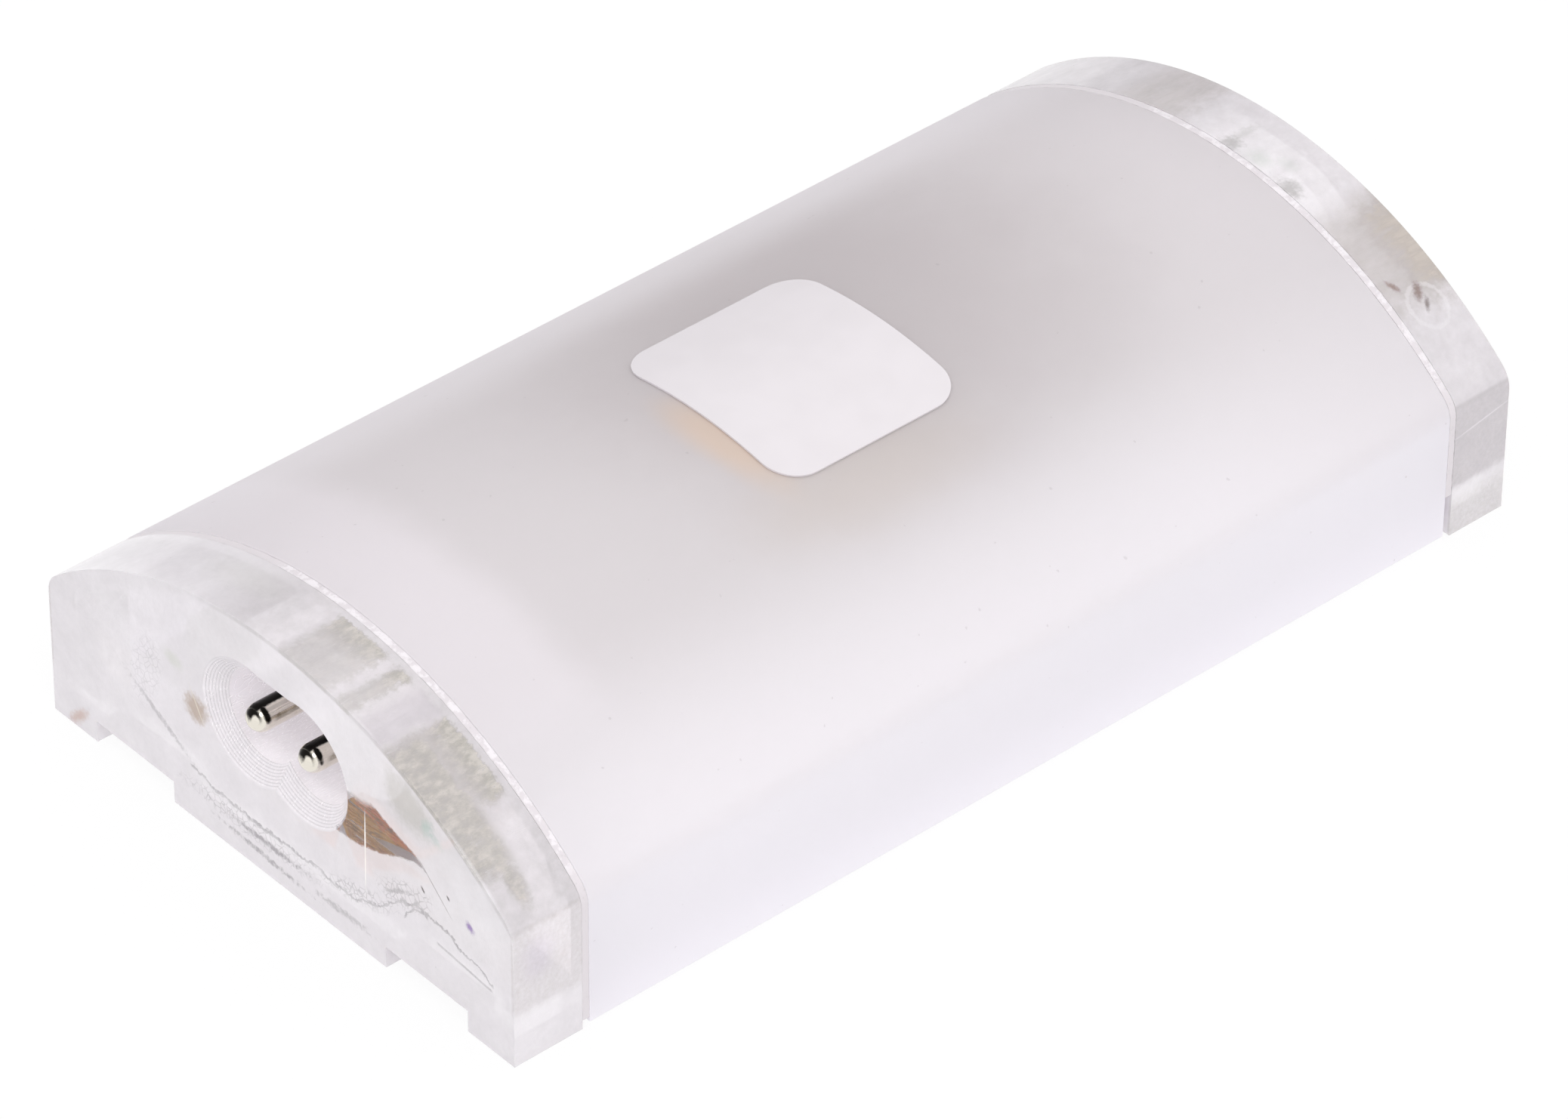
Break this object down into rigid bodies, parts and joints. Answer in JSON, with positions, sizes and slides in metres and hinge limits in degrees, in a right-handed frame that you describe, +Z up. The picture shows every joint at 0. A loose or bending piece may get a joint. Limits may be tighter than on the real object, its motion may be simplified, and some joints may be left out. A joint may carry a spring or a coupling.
{
  "type": "linkable led light module",
  "caption": "Small D-section light module: frosted cover, clear end caps with recessed plug pins, touch pad label on the crown, lamp board inside.",
  "frame": {"origin": "middle of the underside, on the plane of the end caps' feet", "axes": "+X along the module from the left end to the right end, +Y across it towards the back, +Z up through the crown"},
  "size_m": [0.0668, 0.036, 0.0157],
  "materials": {
    "frosted_cover": "frosted translucent acrylic, satin",
    "clear_cap": "clear acrylic, polished and lightly scratched",
    "white_base": "satin white plastic",
    "adhesive": "clear solvent cement with bubbles",
    "pin_metal": "bright nickel plate",
    "copper": "bare copper",
    "board_white": "white solder mask",
    "board_pad": "soft grey thermal pad",
    "led_body": "white package with a yellow phosphor window",
    "chip_black": "moulded epoxy",
    "ceramic_tan": "fired ceramic",
    "can_aluminium": "drawn can",
    "spring_metal": "tinned spring wire",
    "label_white": "satin white film"
  },
  "bodies": {
    "root": {"cover_shell": "frosted_cover", "base_plate": "white_base", "left_end_cap": "clear_cap", "right_end_cap": "clear_cap", "left_bond_line": "adhesive", "right_bond_line": "adhesive", "left_pin_front": "pin_metal", "left_pin_back": "pin_metal", "right_pin_front": "pin_metal", "right_pin_back": "pin_metal", "left_lead_front": "copper", "left_lead_back": "copper", "right_lead_front": "copper", "right_lead_back": "copper", "board_pad": "board_pad", "circuit_board": "board_white", "led_1": "led_body", "led_2": "led_body", "led_3": "led_body", "led_4": "led_body", "led_5": "led_body", "led_6": "led_body", "touch_chip": "chip_black", "voltage_regulator": "chip_black", "dimmer_mosfet": "chip_black", "filter_capacitor": "can_aluminium", "resistor_1": "chip_black", "resistor_2": "chip_black", "resistor_3": "chip_black", "ceramic_1": "ceramic_tan", "ceramic_2": "ceramic_tan", "touch_spring": "spring_metal", "touch_electrode": "copper", "touch_label": "label_white"}
  },
  "joints": []
}
